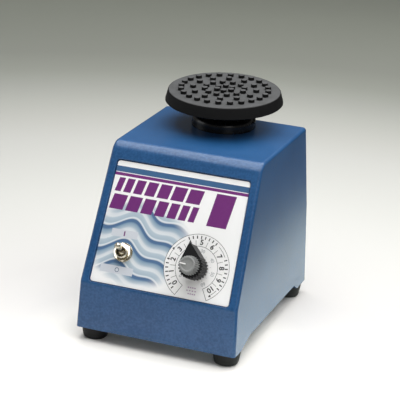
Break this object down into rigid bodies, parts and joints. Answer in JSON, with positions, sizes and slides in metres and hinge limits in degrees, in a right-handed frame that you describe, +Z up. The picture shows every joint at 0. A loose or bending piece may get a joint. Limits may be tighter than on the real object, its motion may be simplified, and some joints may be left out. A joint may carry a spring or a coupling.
{
  "type": "vortex mixer",
  "caption": "Bench vortex mixer: a sloping blue housing on rubber feet, with a toggle switch, speed and timer knobs, and a rubber-faced cup head that orbits and can be pressed down.",
  "frame": {"origin": "on the bench under the middle of the whole object's box", "axes": "+Z up, +X to the right as seen from the control panel, -Y toward the user who faces the panel"},
  "size_m": [0.122, 0.1748, 0.1702],
  "materials": {
    "housing": "fine textured powder coat",
    "base_plate": "satin",
    "feet": "matt",
    "foot_screws": "satin",
    "front_label": "gloss",
    "top_collar": "gloss",
    "mains_inlet": "satin",
    "inlet_pins": "satin",
    "inlet_screws": "satin",
    "circuit_board": "satin",
    "board_standoffs": "satin",
    "heat_sink": "satin",
    "suppressor_capacitor": "satin",
    "terminal_block": "satin",
    "speed_timer_control": "satin",
    "control_nut": "polished",
    "toggle_body": "polished",
    "toggle_nut": "polished",
    "toggle_washer": "polished",
    "guide_posts": "satin",
    "post_clips": "satin",
    "press_springs": "satin",
    "touch_switch": "satin",
    "lower_bracket": "satin",
    "upper_bracket": "satin",
    "top_bracket": "satin",
    "stator_core": "satin",
    "stator_windings": "satin",
    "motor_bolts": "satin",
    "motor_nuts": "satin",
    "short_spacers": "satin",
    "long_spacers": "satin",
    "motor_bearings": "satin",
    "ball_socket": "satin",
    "socket_screws": "satin",
    "motor_shaft": "satin",
    "rotor_core": "satin",
    "cooling_fan": "satin",
    "crank_hub": "machined",
    "crank_bearing": "satin",
    "counterweight": "machined",
    "crank_screws": "satin",
    "head_stem": "satin",
    "swivel_ball": "satin",
    "head_hub": "gloss",
    "head_plate": "satin",
    "plate_screw": "satin",
    "rubber_cover": "matt",
    "switch_plunger": "satin",
    "toggle_lever": "polished",
    "speed_knob": "satin",
    "speed_shaft": "satin",
    "timer_knob": "satin",
    "timer_shaft": "satin"
  },
  "bodies": {
    "base": {"housing": "housing", "base_plate": "base_plate", "feet": "feet", "foot_screws": "foot_screws", "front_label": "front_label", "top_collar": "top_collar", "mains_inlet": "mains_inlet", "inlet_pins": "inlet_pins", "inlet_screws": "inlet_screws", "circuit_board": "circuit_board", "board_standoffs": "board_standoffs", "heat_sink": "heat_sink", "suppressor_capacitor": "suppressor_capacitor", "terminal_block": "terminal_block", "speed_timer_control": "speed_timer_control", "control_nut": "control_nut", "toggle_body": "toggle_body", "toggle_nut": "toggle_nut", "toggle_washer": "toggle_washer", "guide_posts": "guide_posts", "post_clips": "post_clips", "press_springs": "press_springs", "touch_switch": "touch_switch"},
    "carriage": {"lower_bracket": "lower_bracket", "upper_bracket": "upper_bracket", "top_bracket": "top_bracket", "stator_core": "stator_core", "stator_windings": "stator_windings", "motor_bolts": "motor_bolts", "motor_nuts": "motor_nuts", "short_spacers": "short_spacers", "long_spacers": "long_spacers", "motor_bearings": "motor_bearings", "ball_socket": "ball_socket", "socket_screws": "socket_screws"},
    "rotor": {"motor_shaft": "motor_shaft", "rotor_core": "rotor_core", "cooling_fan": "cooling_fan", "crank_hub": "crank_hub", "crank_bearing": "crank_bearing", "counterweight": "counterweight", "crank_screws": "crank_screws"},
    "head": {"head_stem": "head_stem", "swivel_ball": "swivel_ball", "head_hub": "head_hub", "head_plate": "head_plate", "plate_screw": "plate_screw", "rubber_cover": "rubber_cover"},
    "touch_plunger": {"switch_plunger": "switch_plunger"},
    "lever": {"toggle_lever": "toggle_lever"},
    "speed_dial": {"speed_knob": "speed_knob", "speed_shaft": "speed_shaft"},
    "timer_dial": {"timer_knob": "timer_knob", "timer_shaft": "timer_shaft"}
  },
  "joints": [
    {"name": "head_press", "type": "slide", "parent": "base", "child": "carriage", "axis": [0, 0, -1], "range_m": [0, 0.002], "stiffness_N_per_m": 3000, "springref_m": -0.012, "deforming": ["press_springs"]},
    {"name": "motor_spin", "type": "hinge", "parent": "carriage", "child": "rotor", "pos_m": [0, 0.04525, 0.124], "axis": [0, 0, 1], "continuous": true},
    {"name": "head_orbit", "type": "hinge", "parent": "rotor", "child": "head", "pos_m": [0, 0.04525, 0.124], "axis": [0, -0.0523, 0.9986], "continuous": true},
    {"name": "touch_contact", "type": "slide", "parent": "base", "child": "touch_plunger", "axis": [0, 0, -1], "range_m": [0, 0.002]},
    {"name": "mode_toggle", "type": "hinge", "parent": "base", "child": "lever", "pos_m": [-0.032, -0.06601, 0.06825], "axis": [1, 0, 0], "range_deg": [0, 30]},
    {"name": "speed_turn", "type": "hinge", "parent": "base", "child": "speed_dial", "pos_m": [0.024, -0.06592, 0.06664], "axis": [0, -0.8944, 0.4472], "range_deg": [-147.2, 119.8]},
    {"name": "timer_turn", "type": "hinge", "parent": "base", "child": "timer_dial", "pos_m": [0.024, -0.06592, 0.06664], "axis": [0, -0.8944, 0.4472], "range_deg": [-235, 65]}
  ],
  "couplings": [
    {"joint": "head_orbit", "follows": "motor_spin", "ratio": -1},
    {"joint": "touch_contact", "follows": "head_press", "ratio": 1}
  ]
}
